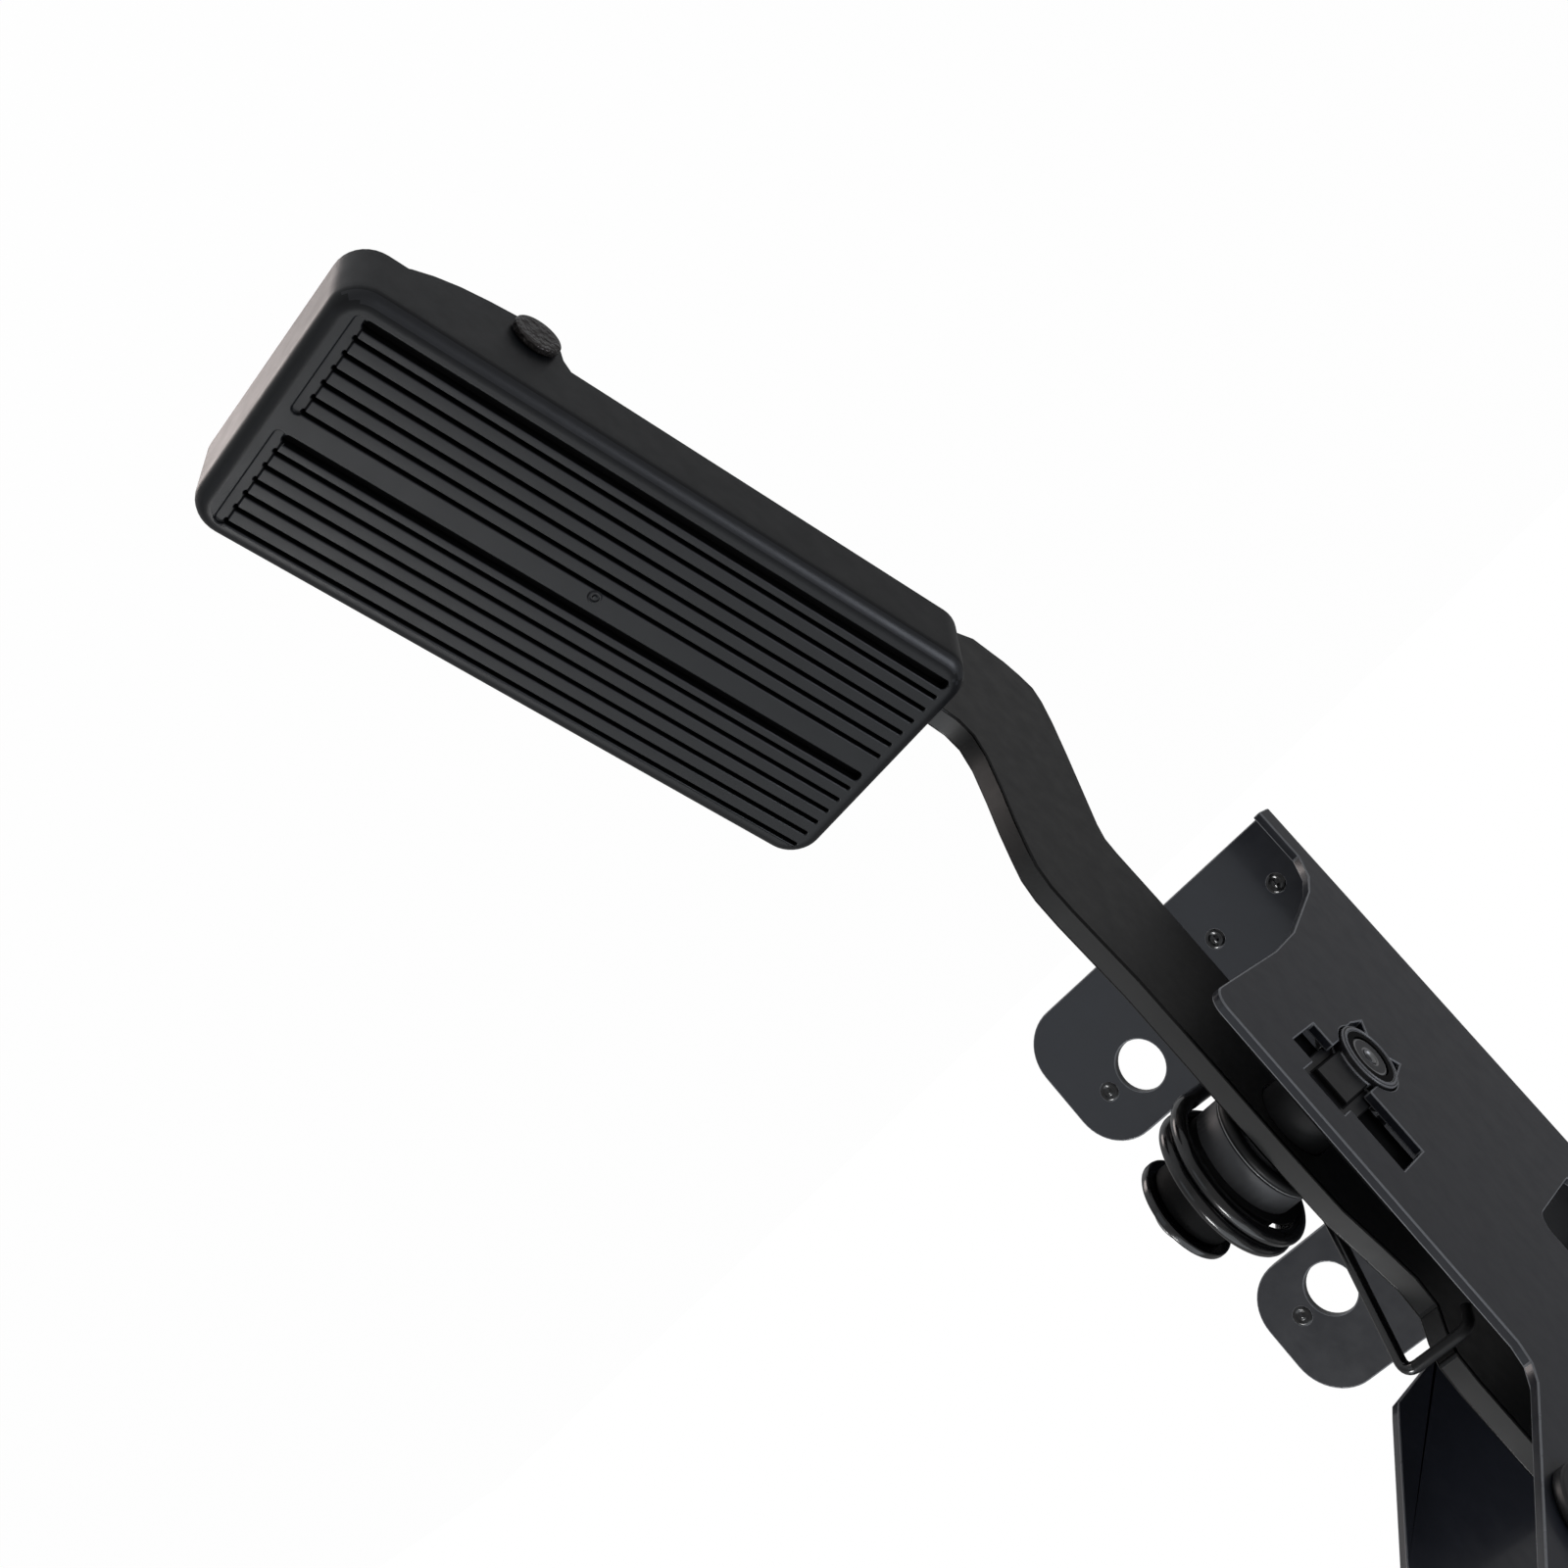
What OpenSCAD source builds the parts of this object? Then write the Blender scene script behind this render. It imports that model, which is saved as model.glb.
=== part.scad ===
// Hanging accelerator pedal on a folded steel bracket.
// X runs across the vehicle, +Y away from the driver, +Z up.
// Origin: middle of the two mounting holes, on the back face of the bracket's base plate.

/* [Bracket sheet] */
// Thickness of the folded steel sheet
sheet = 2; // [1.5:0.1:3]
// Outer radius of the folds
fold_r = 3; // [2.5:0.1:4]
// Distance from the mounting holes to the outside of the tall side wall
wall_x = 63; // [60:0.5:68]
// Lower end of the base plate below the origin
base_low = 54.5; // [50:0.5:58]
// Upper end of the bracket above the origin
base_top = 96; // [92:0.5:104]
// Front edge of the tall side wall, measured from the mounting face
wall_depth = 90; // [86:0.5:96]
// Front edge of the upper extension of the tall side wall
horn_depth = 152; // [145:0.5:160]
// Outside face of the short side wall
short_wall_x = 7; // [6.5:0.1:7.5]
// Bore of the ring in the tall side wall's upper extension
outlet_d = 12; // [11:0.5:13]
// Depth of the small dimples in the base plate
dimple_d = 1; // [0.6:0.1:1.2]

/* [Mounting ears] */
// Distance between the two mounting holes
hole_spacing = 63; // [60:0.5:66]
// Diameter of the mounting holes
hole_d = 12; // [10:0.5:13]
// Reach of the lower ear beyond its hole
ear_low_reach = 20.5; // [16:0.5:24]
// Reach of the upper ear beyond its hole
ear_top_reach = 18.5; // [16:0.5:24]
// Corner radius of the ears
ear_r = 11; // [8:0.5:14]

/* [Pivot] */
// Pivot axis in front of the mounting face
pivot_depth = 55; // [52:0.5:60]
// Pivot axis below the origin
pivot_drop = 1.5; // [0:0.1:3]
// Diameter of the pivot shaft
shaft_d = 9; // [8:0.1:10]
// Radial running clearance of the pivot
pivot_clear = 0.05; // [0.02:0.01:0.1]
// Wall of the plastic sleeves between shaft and hub
sleeve_wall = 1.4; // [1:0.1:2]
// Wall of the steel hub tube
hub_wall = 2; // [1.5:0.1:3]

/* [Arm] */
// Thickness of the arm plate
arm_t = 5; // [4:0.1:6]
// Arm's nearer face, measured from the outside of the tall side wall
arm_gap = 20; // [18:0.5:24]
// Cable eye in front of the mounting face
cable_depth = 57.5; // [56:0.1:59]
// Height of the cable eye above the origin
cable_z = 79; // [76:0.5:81]
// Bore of the cable eye's bush
cable_d = 5; // [4:0.5:6]

/* [Return springs] */
// Wire diameter of the small spring beside the arm
wire_d = 2.5; // [2:0.1:2.8]
// Mean radius of the small spring
inner_spring_r = 12; // [11.6:0.1:12.6]
// Wire diameter of the large spring
coil_wire_d = 3.5; // [3:0.1:4]
// Mean radius of the large spring
outer_spring_r = 16.4; // [16:0.1:17.5]
// Radius of the spool inside the large spring
drum_r = 12.5; // [11.5:0.1:13]

/* [Pad] */
// Width of the pad
pad_w = 58; // [54:0.5:62]
// Length of the pad
pad_l = 142; // [136:0.5:150]
// Depth of the pad's rim
pad_d = 18; // [16:0.5:20]
// Thickness of the pad's face
pad_face = 5; // [4:0.5:7]
// Wall of the pad's rim
pad_wall = 3; // [2.5:0.1:4]
// Distance between neighbouring grooves
groove_pitch = 3.5; // [3:0.1:4]
// Width of the narrow grooves
groove_w = 0.9; // [0.6:0.1:1.4]
// Width of the two broad grooves
broad_w = 2.4; // [2:0.1:3]
// Depth of the grooves
groove_d = 1.6; // [1:0.1:2.4]
// Length of the grooves
groove_l = 131; // [126:0.5:134]
// Lean of the pad from the vertical
pad_lean = 42.1; // [38:0.1:46]
// Diameter of the pad's hinge pin
pin_d = 6; // [5:0.1:7]
// Radial running clearance of the pad hinge
pin_clear = 0.05; // [0.02:0.01:0.1]

/* [Rest stop] */
// Diameter of the rubber stop behind the arm's upper end
stop_d = 13; // [11:0.5:15]
// Height of the rest stop above the mounting holes' middle
stop_z = 62; // [60:0.5:66]
// Thickness of the rubber in front of its post
stop_rubber = 7; // [5:0.5:9]

/* [Hidden] */
$fn = 48;
eps = 0.01;
gap = 0.3;
wall_in = -wall_x + sheet;
arm_x0 = -wall_x + arm_gap;
arm_x1 = arm_x0 + arm_t;
py = -pivot_depth;
pz = -pivot_drop;
shaft_r = shaft_d / 2;
sleeve_in = shaft_r + pivot_clear;
sleeve_out = sleeve_in + sleeve_wall;
hub_in = sleeve_out;
hub_out = hub_in + hub_wall;
hub_x0 = wall_in + 2.6;
hub_x1 = -13.9;
wire_r = wire_d / 2;
leg_r = wire_r - 0.05;
coil_wire_r = coil_wire_d / 2;
coil_leg_r = coil_wire_r - 0.05;
spool_x0 = arm_x1 + gap;
inner_x = spool_x0 + wire_r + 0.05;
neck_r = inner_spring_r - wire_r - 0.5;
lead_x = inner_x + wire_d;
collar_x0 = inner_x + wire_r + gap;
drum_x0 = lead_x + wire_r + gap;
coil_x0 = arm_x1 + 9.4;
coil_count = 2;
coil_pitch = coil_wire_d * 0.99;
coil_x1 = coil_x0 + (coil_count - 1) * coil_pitch;
drum_x1 = coil_x1 + 3;
spool_end_r = 9.4;
leg_inset = 0.2;
leg_a = 36.5;
hook_y = -67.2 - wire_r;
hook_z = 46.6;
hook_x0 = arm_x0 - 5.5;
hook_x1 = arm_x1 + 5.6;
washer_r = 11.4;
washer_t = 2;
shaft_x0 = -wall_x - 0.5;
shaft_x1 = hub_x1 + gap + washer_t + 4;
groove_x = shaft_x1 - 3.4;
groove_depth = 0.6;
clip_t = 0.8;
bush_r = 7.3;
bush_flange_r = 10.5;
bush_recess_r = shaft_r + 1.3;
outlet_y = -114.8;
outlet_z = base_top - 19.2;
outlet_r = outlet_d / 2;
outlet_neck_r = outlet_r + 2.35;
outlet_flange_r = outlet_r + 4.6;
cable_r = cable_d / 2;
cable_neck_r = cable_r + 2.45;
cable_flange_r = cable_r + 4.3;
press = 0.02;
fit = 0.05;
stop_y = py + 11.7;
stop_x = arm_x0 + arm_t / 2;
stop_cap = stop_rubber + 9;
post_r = 4;
stud_r = 3;
pad_x0 = -62;
pad_z0 = -7;
pad_x1 = pad_x0 + pad_w;
pad_corner = 6;
pad_y = -163;
pad_z = -203.5;
edge_cut = 3.6;
groove_x0 = -53;
group_pitch = 27.2;
broad_offset = 3.3;
pin_y = 21;
pin_z = 30.5;
pin_head_r = 5;
lug_t = 4;
pin_r = pin_d / 2;
eye_in = pin_r + pin_clear;
eye_r = 8.5;
pad_rest = 0.5;
dimples = [[-52.9, -41.5], [-33.8, -41.3], [10.2, -31.7], [9.6, 32.4]];
dimple_r = 2.6;

// A point of the pad's own Y-Z plane, seen in the bracket's
function row(y, z) = [pad_y + y * cos(pad_lean) + z * sin(pad_lean),
    pad_z + z * cos(pad_lean) - y * sin(pad_lean)];

// A profile in the Y-Z plane, from x0 to x1
module yz(x0, x1) {
    translate([x0, 0, 0]) rotate([90, 0, 90]) linear_extrude(x1 - x0) children();
}

// A profile in the X-Z plane, from y0 to y1
module xz(y0, y1) {
    translate([0, y1, 0]) rotate([90, 0, 0]) linear_extrude(y1 - y0) children();
}

// A round bar along X on the pivot axis
module pivot_bar(x0, x1, r) {
    translate([x0, py, pz]) rotate([0, 90, 0]) cylinder(h = x1 - x0, r = r);
}

// A rectangle with round corners, from one corner to the opposite one
module round_rect(a0, b0, a1, b1, r) {
    translate([a0 + r, b0]) square([a1 - a0 - 2 * r, b1 - b0]);
    translate([a0, b0 + r]) square([a1 - a0, b1 - b0 - 2 * r]);
    for (a = [a0 + r, a1 - r]) for (b = [b0 + r, b1 - r]) translate([a, b]) circle(r);
}

// A round bar along X between two places across, centred on [y, z]
module bar_x(x0, x1, r, c) {
    translate([x0, c[0], c[1]]) rotate([0, 90, 0]) cylinder(h = x1 - x0, r = r);
}

// A round hole through the base plate
module plate_hole(x, z, r) {
    translate([x, 0, z]) rotate([90, 0, 0]) cylinder(h = 10, r = r, center = true);
}

// Places the pad's own axes: x across, y through its depth, z along its face
module pad_frame() {
    translate([0, pad_y, pad_z]) rotate([-pad_lean, 0, 0]) children();
}

// The sharp outer edge of a fold that runs along Z, taken off to a round
module fold_edge(x, z0, z1, side) {
    translate([x, -fold_r, z0]) difference() {
        translate([side > 0 ? 0 : -fold_r, 0, 0]) cube([fold_r + eps, fold_r + 1, z1 - z0]);
        translate([0, 0, -1]) cylinder(h = z1 - z0 + 2, r = fold_r);
    }
}

module base_profile() {
    translate([-wall_x, -base_low]) square([wall_x - 17, base_low + base_top]);
    translate([-20, -base_low]) square([20, 35]);
    round_rect(-20, -base_low, ear_low_reach, -19.5, ear_r);
    translate([-20, 20]) square([20, 31.5]);
    round_rect(-20, 20, ear_top_reach, 51.5, ear_r);
    translate([-20, 50]) square([9, 7]);
    translate([-20, 55.5]) square([20 - short_wall_x, base_top - 55.5]);
}

module wall_profile() {
    difference() {
        union() {
            polygon([[0, -base_low], [-8, -base_low], [-8, -42], [-11.5, -37.5], [-18, -34.5],
                [-40, -29.2], [-54, -28], [4 - wall_depth, -28], [-wall_depth, -24],
                [-wall_depth, 50.5], [-wall_depth - 1.4, 54.2], [-wall_depth - 5, 56.8],
                [-139, 72.1], [-horn_depth, 76.6], [-horn_depth, base_top], [0, base_top]]);
            translate([4 - wall_depth, -24]) circle(4);
        }
        translate([py, pz]) circle(bush_r + gap);
        translate([py, pz]) rotate(45) square([14, 2.6], center = true);
        polygon([[-53, -8.5], [-49.5, -8.6], [-44.6, -7.6], [-47.6, -4.6], [-47.6, 0.4],
            [-44.6, 3.2], [-49.5, 4.2], [-53, 5]]);
        translate([-82, -7.4]) square([22, 10.6]);
        translate([-76.5, -12.8]) square([12.5, 6]);
        translate([-78.2, 2]) square([13, 15.4]);
        round_rect(-43.3, 41.3, -14, 62, 4);
        translate([outlet_y, outlet_z]) circle(outlet_neck_r + fit);
    }
}

module short_wall_profile() {
    polygon([[0, 55.5], [-31, 54.8], [-34.5, 56.2], [-72.4, 73.2], [-108, base_top], [0, base_top]]);
}

module bracket() color([0.03, 0.03, 0.035]) {
    difference() {
        union() {
            xz(-sheet, 0) base_profile();
            yz(-wall_x, wall_in) wall_profile();
            yz(-short_wall_x - sheet, -short_wall_x) short_wall_profile();
        }
        fold_edge(fold_r - wall_x, -base_low - 1, base_top + 1, -1);
        fold_edge(-short_wall_x - fold_r, 55.4, base_top + 1, 1);
        for (p = dimples)
            translate([p[0], dimple_r - sheet - dimple_r * 2 + dimple_d, p[1]]) sphere(dimple_r, $fn = 24);
        plate_hole(0, -hole_spacing / 2, hole_d / 2);
        plate_hole(0, hole_spacing / 2, hole_d / 2);
        plate_hole(stop_x, stop_z, stud_r);
        plate_hole(coil_x0, pz - outer_spring_r, coil_wire_r + leg_inset);
        plate_hole(inner_x, pz + inner_spring_r, wire_r + leg_inset);
    }
}

module wall_bush() color([0.05, 0.05, 0.055]) difference() {
    union() {
        pivot_bar(-wall_x - 0.6, wall_in + 0.9, bush_r);
        pivot_bar(wall_in + gap, wall_in + 1.8, bush_flange_r);
        translate([-wall_x + 1, -75.2, -6.2]) cube([sheet, 14, 8.4]);
        translate([wall_in + gap, -79, -8.6]) cube([1.5, 20, 14]);
    }
    pivot_bar(-wall_x - 2, wall_in + 3, shaft_r);
    pivot_bar(-wall_x - 2, wall_in - 0.6, bush_recess_r);
}

module pivot_shaft() color([0.30, 0.30, 0.31]) difference() {
    pivot_bar(shaft_x0, shaft_x1, shaft_r);
    pivot_bar(shaft_x0 - 1, shaft_x0 + 0.5, 1.6);
    difference() {
        pivot_bar(groove_x, groove_x + clip_t + 0.2, shaft_r + 1);
        pivot_bar(groove_x - 1, groove_x + clip_t + 1, shaft_r - groove_depth);
    }
}

module shaft_washer() color([0.06, 0.06, 0.065]) difference() {
    pivot_bar(hub_x1 + gap, hub_x1 + gap + washer_t, washer_r);
    pivot_bar(hub_x1, hub_x1 + 4, shaft_r + gap);
}

module shaft_clip() color([0.25, 0.25, 0.26]) difference() {
    pivot_bar(groove_x + 0.1, groove_x + 0.1 + clip_t, shaft_r + 2.4);
    pivot_bar(groove_x - 1, groove_x + clip_t + 1, shaft_r - groove_depth);
    translate([groove_x - 1, py, pz - 2.2]) cube([clip_t + 2, shaft_r + 3, 4.4]);
}

module arm_profile() {
    difference() {
        polygon([row(15.2, 36.2), row(pad_d + pad_rest, 44), row(pad_d + pad_rest, 143),
                [-50.4, -105.6], [-49.7, -101.4], [-51.7, -96], [-56.8, -88.1], [-61.8, -81],
                [-65.8, -74.6], [-68.4, -70], [-69.5, -65], [-69.3, -58.5], [-68.5, -52], [-67, -40],
                [-66.5, -25], [-66, 0], [-64.9, 17], [-61.9, 27], [-59.8, 35], [-60.4, 41], [-65, 45],
                [-68.2, 49], [-68.8, 55], [-68.4, 72], [-67, 86], [-63, 90], [-51, 90], [-47, 86],
                [-44, 58], [-40, 30], [-35, 5], [-33, -20], [-33, -52], [-33.5, -65.5],
                [-33.2, -69.4], [-31.3, -73], [-24.9, -81.7], [-18.4, -90.4], [-12.4, -98.9],
                [-9, -104.6], [-7.6, -108.6], [-8.6, -112.8], [-10.2, -116.9], [-14.9, -124.6],
                row(47, 132), row(33, 48), row(28.6, 35.4)]);
        translate([-cable_depth, cable_z]) circle(cable_neck_r + fit);
    }
}

module arm() color([0.05, 0.05, 0.05]) difference() {
    union() {
        yz(arm_x0, arm_x1) arm_profile();
        pad_frame() bar_x(arm_x0, arm_x1, eye_r, [pin_y, pin_z]);
    }
    pad_frame() bar_x(arm_x0 - 1, arm_x1 + 1, eye_in, [pin_y, pin_z]);
    pivot_bar(arm_x0 - 1, arm_x1 + 1, hub_out);
}

module hub_tube() color([0.10, 0.10, 0.10]) difference() {
    pivot_bar(hub_x0, hub_x1, hub_out);
    pivot_bar(hub_x0 - 1, hub_x1 + 1, hub_in);
}

module near_sleeve() color([0.55, 0.55, 0.52]) difference() {
    pivot_bar(hub_x0, hub_x0 + 16, sleeve_out);
    pivot_bar(hub_x0 - 1, hub_x0 + 17, sleeve_in);
}

module far_sleeve() color([0.55, 0.55, 0.52]) difference() {
    pivot_bar(hub_x1 - 16, hub_x1, sleeve_out);
    pivot_bar(hub_x1 - 17, hub_x1 + 1, sleeve_in);
}

module spool() color([0.04, 0.04, 0.045]) difference() {
    union() {
        translate([0, py, pz]) rotate([0, 90, 0]) rotate_extrude() polygon([[0, spool_x0],
            [neck_r, spool_x0], [neck_r, drum_x0 - 0.4], [drum_r - 0.4, drum_x0],
            [drum_r, drum_x0 + 0.5], [drum_r, drum_x1 - 0.6], [drum_r - 0.6, drum_x1],
            [spool_end_r, drum_x1], [spool_end_r, hub_x1], [0, hub_x1]]);
        spool_collar();
    }
    pivot_bar(spool_x0 - 1, hub_x1 + 1, hub_out);
    translate([coil_x1, py, pz]) rotate([-90, 0, 0])
        cylinder(h = drum_r + 2, r = coil_wire_r + leg_inset);
}

// The drum's half beside the small spring, open where that spring's leg passes
module spool_collar() {
    difference() {
        pivot_bar(collar_x0, drum_x0 + 0.5, drum_r);
        translate([collar_x0 - 1, py + 2, pz - drum_r - 1])
            cube([drum_x0 - collar_x0 + 1, drum_r, 2 * drum_r + 2]);
    }
}

// Closed turns of wire side by side about the pivot axis
module turns(x, r, count, wire, pitch) {
    translate([x, py, pz]) rotate([0, 90, 0]) rotate_extrude()
        for (i = [0:count - 1]) translate([r, i * pitch]) circle(wire, $fn = 24);
}

// A straight piece of wire from point a to point b
module wire(a, b, r) {
    d = b - a;
    translate(a) rotate([0, acos(d.z / norm(d)), atan2(d.y, d.x)])
        cylinder(h = norm(d), r = r, $fn = 24);
}

module inner_spring() color([0.03, 0.03, 0.032]) {
    tangent = [inner_x, py + inner_spring_r * cos(leg_a), pz + inner_spring_r * sin(leg_a)];
    lead = [lead_x, tangent.y, tangent.z];
    corner = [hook_x1, hook_y, hook_z];
    bend = [hook_x0, hook_y, hook_z];
    turns(inner_x, inner_spring_r, 1, wire_r, 0);
    wire(tangent, lead, leg_r);
    translate(lead) sphere(wire_r + 0.02, $fn = 24);
    wire(lead, corner, leg_r);
    translate(corner) sphere(wire_r + 0.02, $fn = 24);
    wire(corner, bend, leg_r);
    translate(bend) sphere(wire_r + 0.02, $fn = 24);
    wire(bend, bend + [0, 4.3, -2.6], leg_r);
    wire([inner_x, py, pz + inner_spring_r], [inner_x, -leg_inset, pz + inner_spring_r], leg_r);
}

module outer_spring() color([0.03, 0.03, 0.032]) {
    turns(coil_x0, outer_spring_r, coil_count, coil_wire_r, coil_pitch);
    wire([coil_x0, py, pz - outer_spring_r], [coil_x0, -leg_inset, pz - outer_spring_r], coil_leg_r);
    wire([coil_x1, py + outer_spring_r, pz], [coil_x1, py + hub_out + gap, pz], coil_leg_r);
}

// The swelling of the pad's rim round the hinge pin
module pad_boss(x0, x1) {
    yz(x0, x1) {
        polygon([[12, -1], [16.8, 2.7], [20.9, 8.4], [23.6, 14.5], [25.2, 20.7], [26.2, 27],
            [25.5, 33.4], [20, 37], [16.6, 39.5], [12, 42]]);
        translate([pin_y, pin_z]) circle(6);
    }
}

// A lug beside the arm that holds the hinge pin
module pad_lug(x0, x1) {
    yz(x0, x1) {
        translate([pad_face - 1, pin_z - 9]) square([pin_y - pad_face - 2, 18]);
        translate([pin_y, pin_z]) circle(6.4);
    }
}

// One lengthwise groove in the pad's face
module pad_groove(x, w) {
    translate([x - w / 2, -1, 0]) cube([w, groove_d + 1, groove_l]);
}

module pad() color([0.04, 0.042, 0.045]) pad_frame() difference() {
    union() {
        difference() {
            translate([0, pad_d, 0]) rotate([90, 0, 0]) linear_extrude(pad_d)
                round_rect(pad_x0, pad_z0, pad_x1, pad_z0 + pad_l, pad_corner);
            translate([pad_x0 + pad_wall, pad_face, pad_z0 + pad_wall])
                cube([pad_w - 2 * pad_wall, pad_d, pad_l - 2 * pad_wall]);
            for (x = [pad_x0, pad_x1]) translate([x, 0, pad_z0 + pad_l / 2])
                rotate([0, 0, 45]) cube([edge_cut, edge_cut, pad_l + 2], center = true);
            for (z = [pad_z0, pad_z0 + pad_l]) translate([pad_x0 + pad_w / 2, 0, z])
                rotate([45, 0, 0]) cube([pad_w + 2, edge_cut, edge_cut], center = true);
            for (x = [groove_x0, groove_x0 + group_pitch]) {
                for (i = [0:5]) pad_groove(x + i * groove_pitch, groove_w);
                pad_groove(x - broad_offset, broad_w);
            }
            translate([-33.8, -0.2, 63.7]) rotate([90, 0, 0]) cylinder(h = 1.2, r = 0.8, center = true);
        }
        pad_boss(pad_x0, pad_x0 + pad_wall);
        pad_boss(pad_x1 - pad_wall, pad_x1);
        pad_lug(arm_x0 - gap - lug_t, arm_x0 - gap);
        pad_lug(arm_x1 + 4.4, arm_x1 + 4.4 + lug_t);
    }
    bar_x(pad_x0 - 1, pad_x1 + 1, pin_r + pin_clear, [pin_y, pin_z]);
}

module pad_pin() color([0.20, 0.20, 0.20]) pad_frame() {
    bar_x(pad_x0 - 0.2, pad_x1 + 2.8, pin_r, [pin_y, pin_z]);
    bar_x(pad_x0 - 1.8, pad_x0 - 0.2, pin_head_r, [pin_y, pin_z]);
}

module pad_pin_clip() color([0.30, 0.30, 0.30]) pad_frame() difference() {
    bar_x(pad_x1 + gap, pad_x1 + gap + 1.2, pin_r + 2.4, [pin_y, pin_z]);
    bar_x(pad_x1 - 1, pad_x1 + 4, pin_r, [pin_y, pin_z]);
}

module pad_spring() color([0.35, 0.35, 0.36]) pad_frame() {
    translate([arm_x1 + 1.2, pin_y, pin_z]) rotate([0, 90, 0]) rotate_extrude()
        for (i = [0, 1]) translate([pin_r + 1.2, i * 1.45]) circle(0.75, $fn = 20);
    translate([arm_x1 + 1.2, pin_y + pin_r + 1.2, pin_z]) cylinder(h = 24, r = 0.7, $fn = 20);
    translate([arm_x1 + 2.65, pin_y, pin_z + pin_r + 1.2]) rotate([90, 0, 0]) cylinder(h = 14.6, r = 0.7, $fn = 20);
}

// A steel post riveted through the base plate
module stop_post() color([0.2, 0.2, 0.2]) {
    translate([stop_x, -sheet - press, stop_z]) rotate([90, 0, 0])
        cylinder(h = -stop_y - sheet - stop_rubber, r = post_r);
    translate([stop_x, 0, stop_z]) rotate([90, 0, 0]) cylinder(h = sheet + 1, r = stud_r - fit);
}

// A rubber cap pushed over the post
module rest_stop() color([0.03, 0.03, 0.03]) difference() {
    translate([stop_x, stop_y + stop_cap, stop_z]) rotate([90, 0, 0])
        cylinder(h = stop_cap, r = stop_d / 2);
    translate([stop_x, 0, stop_z]) rotate([90, 0, 0])
        cylinder(h = -stop_y - stop_rubber + press, r = post_r + press);
}

module wall_grommet() color([0.05, 0.05, 0.055]) difference() {
    outlet = [outlet_y, outlet_z];
    union() {
        bar_x(-wall_x - 2.4, -wall_x - press, outlet_flange_r, outlet);
        bar_x(wall_in + press, wall_in + 2, outlet_flange_r - 0.6, outlet);
        bar_x(-wall_x - 1, wall_in + 1, outlet_neck_r, outlet);
    }
    bar_x(-wall_x - 4, wall_in + 4, outlet_r, outlet);
}

module cable_grommet() color([0.06, 0.06, 0.06]) difference() {
    eye = [-cable_depth, cable_z];
    union() {
        bar_x(arm_x0 - 1.6, arm_x0 - press, cable_flange_r, eye);
        bar_x(arm_x1 + press, arm_x1 + 1.6, cable_flange_r, eye);
        bar_x(arm_x0 - 1, arm_x1 + 1, cable_neck_r, eye);
    }
    bar_x(arm_x0 - 3, arm_x1 + 3, cable_r, eye);
}

bracket();
wall_bush();
pivot_shaft();
shaft_washer();
shaft_clip();
arm();
hub_tube();
near_sleeve();
far_sleeve();
spool();
inner_spring();
outer_spring();
pad();
pad_pin();
pad_pin_clip();
pad_spring();
stop_post();
rest_stop();
wall_grommet();
cable_grommet();
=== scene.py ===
"""Looks of a hanging accelerator pedal: ribbed pad, steel arm, folded bracket, pivot with coiled springs."""

import math

import bmesh
import bpy
from mathutils import Matrix, Vector


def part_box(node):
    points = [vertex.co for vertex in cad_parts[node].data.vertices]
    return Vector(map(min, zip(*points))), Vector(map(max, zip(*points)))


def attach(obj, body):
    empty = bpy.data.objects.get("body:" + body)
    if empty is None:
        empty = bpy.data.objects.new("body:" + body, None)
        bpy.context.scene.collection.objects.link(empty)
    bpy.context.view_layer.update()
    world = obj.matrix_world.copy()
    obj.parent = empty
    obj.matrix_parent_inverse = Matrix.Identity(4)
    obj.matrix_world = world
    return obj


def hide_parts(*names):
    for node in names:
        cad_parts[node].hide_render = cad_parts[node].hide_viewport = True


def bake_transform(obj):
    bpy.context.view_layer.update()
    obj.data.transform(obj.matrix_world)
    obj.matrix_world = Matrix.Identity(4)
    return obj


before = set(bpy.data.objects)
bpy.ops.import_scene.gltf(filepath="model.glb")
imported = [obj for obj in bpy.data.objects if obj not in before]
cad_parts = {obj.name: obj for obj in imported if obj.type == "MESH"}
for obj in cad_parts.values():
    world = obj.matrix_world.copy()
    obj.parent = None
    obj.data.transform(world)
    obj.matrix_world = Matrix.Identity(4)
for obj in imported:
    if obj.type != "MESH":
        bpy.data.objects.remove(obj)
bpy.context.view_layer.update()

# Lengths are in millimetres, and MM turns them into metres
MM = 0.001

# A tube's side vector shorter than this means that the tube runs along its up vector
ALONG = 1e-6

# Slow changes of colour and gloss in every finish: noise scales, detail and roughness
BLOTCH = 90.0
GLOSS_BLOTCH = BLOTCH * 2.3
BLOTCH_DETAIL, BLOTCH_ROUGH = 4.0, 0.55
GLOSS_DETAIL, GRAIN_DETAIL = 3.0, 2.0
NOISE_LOW, NOISE_HIGH = 0.3, 0.7
COAT_ROUGH = 0.12

# Camera of the photograph, in the row frame
FOCAL_PX = 2375.6
FRAME_PX = 1600
SENSOR_MM = 36.0
CAMERA_AT = Vector((-230.8, -481.98, -5.46)) * MM
CAMERA_RIGHT = Vector((-0.60678, 0.49258, 0.62385))
CAMERA_DOWN = Vector((0.65168, -0.14109, 0.74525))
CLIP_START, CLIP_END = 0.01, 20.0

# World: grey level behind the object and in front of it, and where along Y each one is reached
GREY_BACK, GREY_FRONT = 0.20, 0.36
BACK_Y, FRONT_Y = 0.9, -0.6

# Floor: height, half width, colour, roughness, and the share of plain white that the camera sees
FLOOR_Z, FLOOR_SIZE = -0.75, 6.0
FLOOR_COLOUR, FLOOR_ROUGH = (0.9, 0.9, 0.9, 1), 0.8
FLOOR_GLOW = 0.985
WHITE = (1, 1, 1, 1)

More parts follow.
